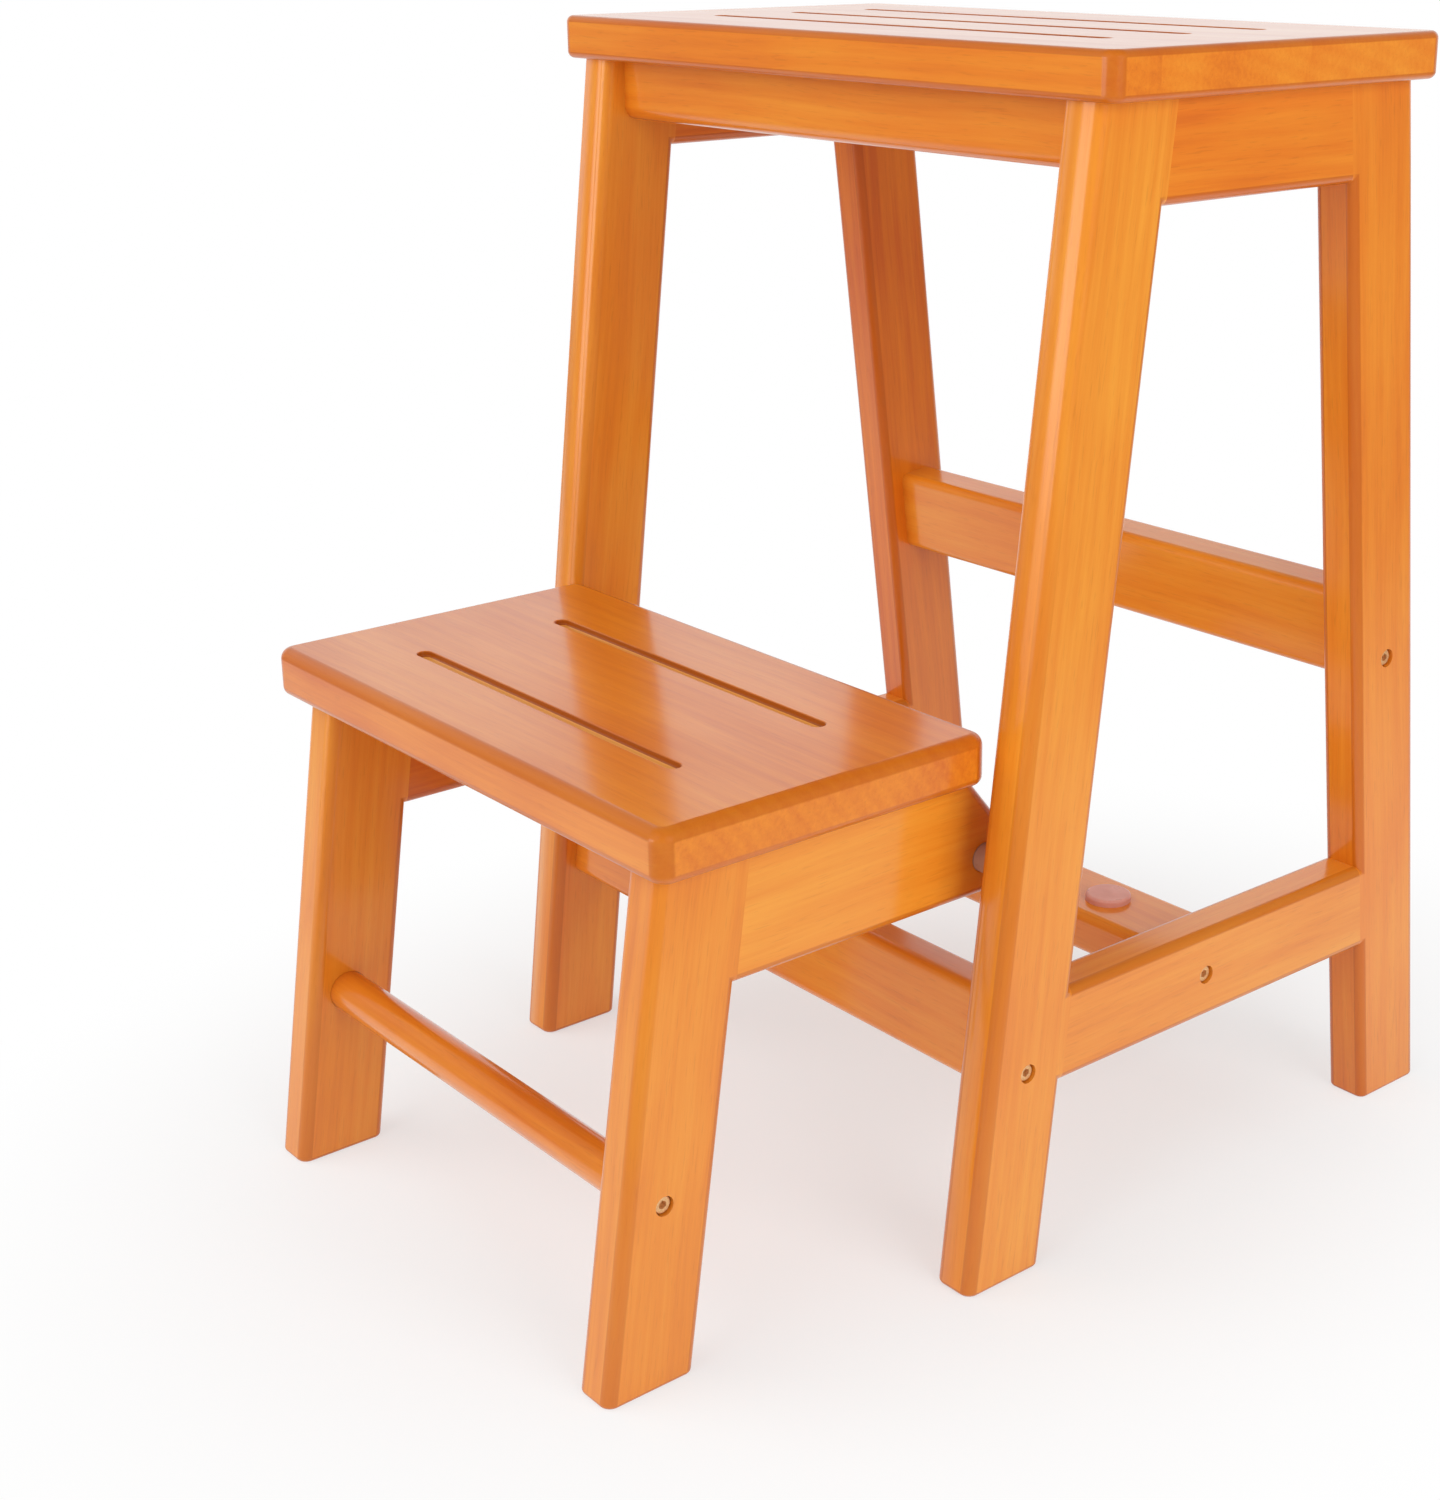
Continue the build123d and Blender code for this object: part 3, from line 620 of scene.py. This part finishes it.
def floor():
    """White paper under the stool, that fades to the white of the background away from it.

    Mirrors see the paper end an arm's length to the front and right, where the dim room begins,
    and the gleam of the card in front, which draws a soft pale line along rounded edges.
    """
    mesh = bpy.data.meshes.new("floor")
    corners = [(HALF_FLOOR * x, HALF_FLOOR * y, 0) for x, y in ((-1, -1), (1, -1), (1, 1), (-1, 1))]
    mesh.from_pydata(corners, [], [(0, 1, 2, 3)])
    material, tree, place = new_material("white_paper_sweep")
    paper = add(tree, "ShaderNodeBsdfDiffuse", {"Color": linear("#F7F7F7")}).outputs[0]
    # 1 where the stool ends, so that the fade follows its outline
    half_width, half_depth = HALF_STOOL
    spread = add(
        tree,
        "ShaderNodeVectorMath",
        {0: place, 1: (1 / half_width, 1 / half_depth, 0.0)},
        operation="MULTIPLY",
    ).outputs[0]
    away = add(tree, "ShaderNodeVectorMath", {0: spread}, operation="LENGTH").outputs["Value"]
    fade = add(
        tree,
        "ShaderNodeMapRange",
        {"Value": away, "From Min": 0.6, "From Max": 2.2, "To Min": 0.5, "To Max": 1.0},
        interpolation_type="SMOOTHSTEP",
    ).outputs["Result"]
    # What mirrors see: the sheet, which ends at the front and right, and the card's gleam
    behind = add(
        tree, "ShaderNodeVectorMath", {0: place, 1: BACKDROP}, operation="DOT_PRODUCT"
    ).outputs["Value"]
    reach = add(tree, "ShaderNodeVectorMath", {0: place}, operation="LENGTH").outputs["Value"]
    beyond = add(tree, "ShaderNodeMath", {0: reach, 1: behind}, operation="SUBTRACT").outputs[0]
    sheet = add(
        tree,
        "ShaderNodeMapRange",
        {"Value": beyond, "From Min": 0.4, "From Max": 1.3, "To Min": 1.0, "To Max": 0.2},
        interpolation_type="SMOOTHSTEP",
    ).outputs["Result"]
    aim = add(tree, "ShaderNodeVectorMath", {0: place}, operation="NORMALIZE").outputs[0]
    toward = add(tree, "ShaderNodeVectorMath", {0: aim, 1: CARD}, operation="DOT_PRODUCT").outputs["Value"]
    gleam = add(
        tree,
        "ShaderNodeMapRange",
        {"Value": toward, "From Min": 0.92, "From Max": 0.98, "To Min": 0.0, "To Max": 1.0},
        interpolation_type="SMOOTHSTEP",
    ).outputs["Result"]
    near_end = add(
        tree,
        "ShaderNodeMapRange",
        {"Value": reach, "From Min": 0.6, "From Max": 1.0, "To Min": 0.0, "To Max": 1.0},
        interpolation_type="SMOOTHSTEP",
    ).outputs["Result"]
    mirrored = add(
        tree, "ShaderNodeMath", {0: gleam, 1: near_end, 2: sheet}, operation="MULTIPLY_ADD"
    ).outputs[0]
    fade = add(tree, "ShaderNodeMath", {0: fade, 1: seen_white(tree, 1.0)}, operation="MULTIPLY").outputs[0]
    glow = add(tree, "ShaderNodeMix", {0: seen_white(tree, 0.0), 2: mirrored, 3: 1.0}).outputs[0]
    white = add(tree, "ShaderNodeEmission", {"Color": linear("#FFFFFF"), "Strength": glow}).outputs[0]
    surface = add(tree, "ShaderNodeMixShader", {0: fade, 1: paper, 2: white}).outputs[0]
    add(tree, "ShaderNodeOutputMaterial", {"Surface": surface})
    mesh.materials.append(material)
    sweep = bpy.data.objects.new("floor", mesh)
    scene.collection.objects.link(sweep)


def softbox(name, place, target, width, height, power):
    """A rectangular soft light that looks at a point. The lacquer mirrors the room and not the light."""
    light = bpy.data.lights.new(name, "AREA")
    light.shape = "RECTANGLE"
    light.size = width
    light.size_y = height
    light.energy = power
    lamp = bpy.data.objects.new(name, light)
    lamp.visible_glossy = False
    lamp.location = place
    lamp.rotation_euler = (Vector(target) - Vector(place)).to_track_quat("-Z", "Y").to_euler()
    scene.collection.objects.link(lamp)


def studio():
    """A white wall behind the stool in a dim room, under a ceiling that lights it softly from above.

    The camera sees white all round; mirrors see the wall, the low card in front, and the dim room elsewhere.
    """
    world = bpy.data.worlds.new("studio")
    scene.world = world
    world.use_nodes = True
    tree = world.node_tree
    tree.nodes.clear()
    aim = add(tree, "ShaderNodeTexCoord").outputs["Generated"]
    height = add(tree, "ShaderNodeSeparateXYZ", {0: aim}).outputs["Z"]
    behind = add(
        tree, "ShaderNodeVectorMath", {0: aim, 1: BACKDROP}, operation="DOT_PRODUCT"
    ).outputs["Value"]
    wall = add(
        tree,
        "ShaderNodeMapRange",
        {"Value": behind, "From Min": 0.2, "From Max": 0.6, "To Min": 0.2, "To Max": 1.0},
        interpolation_type="SMOOTHSTEP",
    ).outputs["Result"]
    wall_end = add(
        tree,
        "ShaderNodeMapRange",
        {"Value": height, "From Min": 0.42, "From Max": 0.7, "To Min": 1.0, "To Max": 0.25},
        interpolation_type="SMOOTHSTEP",
    ).outputs["Result"]
    wall = add(tree, "ShaderNodeMath", {0: wall, 1: wall_end}, operation="MULTIPLY").outputs[0]
    toward = add(tree, "ShaderNodeVectorMath", {0: aim, 1: CARD}, operation="DOT_PRODUCT").outputs["Value"]
    card = add(
        tree,
        "ShaderNodeMapRange",
        {"Value": toward, "From Min": 0.92, "From Max": 0.98, "To Min": 0.0, "To Max": 3.2},
        interpolation_type="SMOOTHSTEP",
    ).outputs["Result"]
    card_end = add(
        tree,
        "ShaderNodeMapRange",
        {"Value": height, "From Min": 0.1, "From Max": 0.18, "To Min": 1.0, "To Max": 0.0},
        interpolation_type="SMOOTHSTEP",
    ).outputs["Result"]
    mirrored = add(
        tree, "ShaderNodeMath", {0: card, 1: card_end, 2: wall}, operation="MULTIPLY_ADD"
    ).outputs[0]
    ceiling = add(
        tree,
        "ShaderNodeMapRange",
        {"Value": height, "From Min": 0.1, "From Max": 0.9, "To Min": 0.27, "To Max": 0.54},
        interpolation_type="SMOOTHSTEP",
    ).outputs["Result"]
    light = add(tree, "ShaderNodeMix", {0: seen_white(tree, 1.0), 2: ceiling, 3: mirrored}).outputs[0]
    light = add(tree, "ShaderNodeMix", {0: seen_white(tree, 0.0), 2: light, 3: 1.0}).outputs[0]
    sky = add(tree, "ShaderNodeBackground", {"Color": linear("#FFFFFF"), "Strength": light})
    add(tree, "ShaderNodeOutputWorld", {"Surface": sky.outputs[0]})


def photo_camera():
    """The photograph's viewpoint, from a solve on the stool's edges. Lengths in its frame are in pixels."""
    place = (0.736869, -0.621200, 0.529248)
    yaw, pitch, roll = math.radians(49.37), math.radians(-18.50), math.radians(-0.07)
    width, height = 1440, 1500
    focal, centre_x, centre_y = 2321.15, 859.07, 675.25
    ahead = Vector((-math.sin(yaw) * math.cos(pitch), math.cos(yaw) * math.cos(pitch), math.sin(pitch)))
    right = Vector((math.cos(yaw), math.sin(yaw), 0.0))
    up = right.cross(ahead)
    right, up = (
        math.cos(roll) * right + math.sin(roll) * up,
        math.cos(roll) * up - math.sin(roll) * right,
    )
    data = bpy.data.cameras.new("photo_view")
    data.sensor_width = 36.0
    data.lens = focal * data.sensor_width / height
    data.shift_x = (width / 2 - centre_x) / height
    data.shift_y = (centre_y - height / 2) / height
    data.clip_start = 0.01
    camera = bpy.data.objects.new("photo_view", data)
    turn = Matrix((right, up, -ahead)).transposed().to_4x4()
    camera.matrix_world = Matrix.Translation(place) @ turn
    scene.collection.objects.link(camera)
    scene.camera = camera


floor()
studio()
softbox("key_right", (1.6, -0.05, 0.75), target=(0.0, 0.0, 0.2), width=1.1, height=1.1, power=12.6)
softbox("fill_front", (-0.8, -2.4, 1.75), target=(0.0, 0.0, 0.25), width=4.6, height=2.5, power=62.0)
photo_camera()
scene.view_settings.view_transform = "Standard"
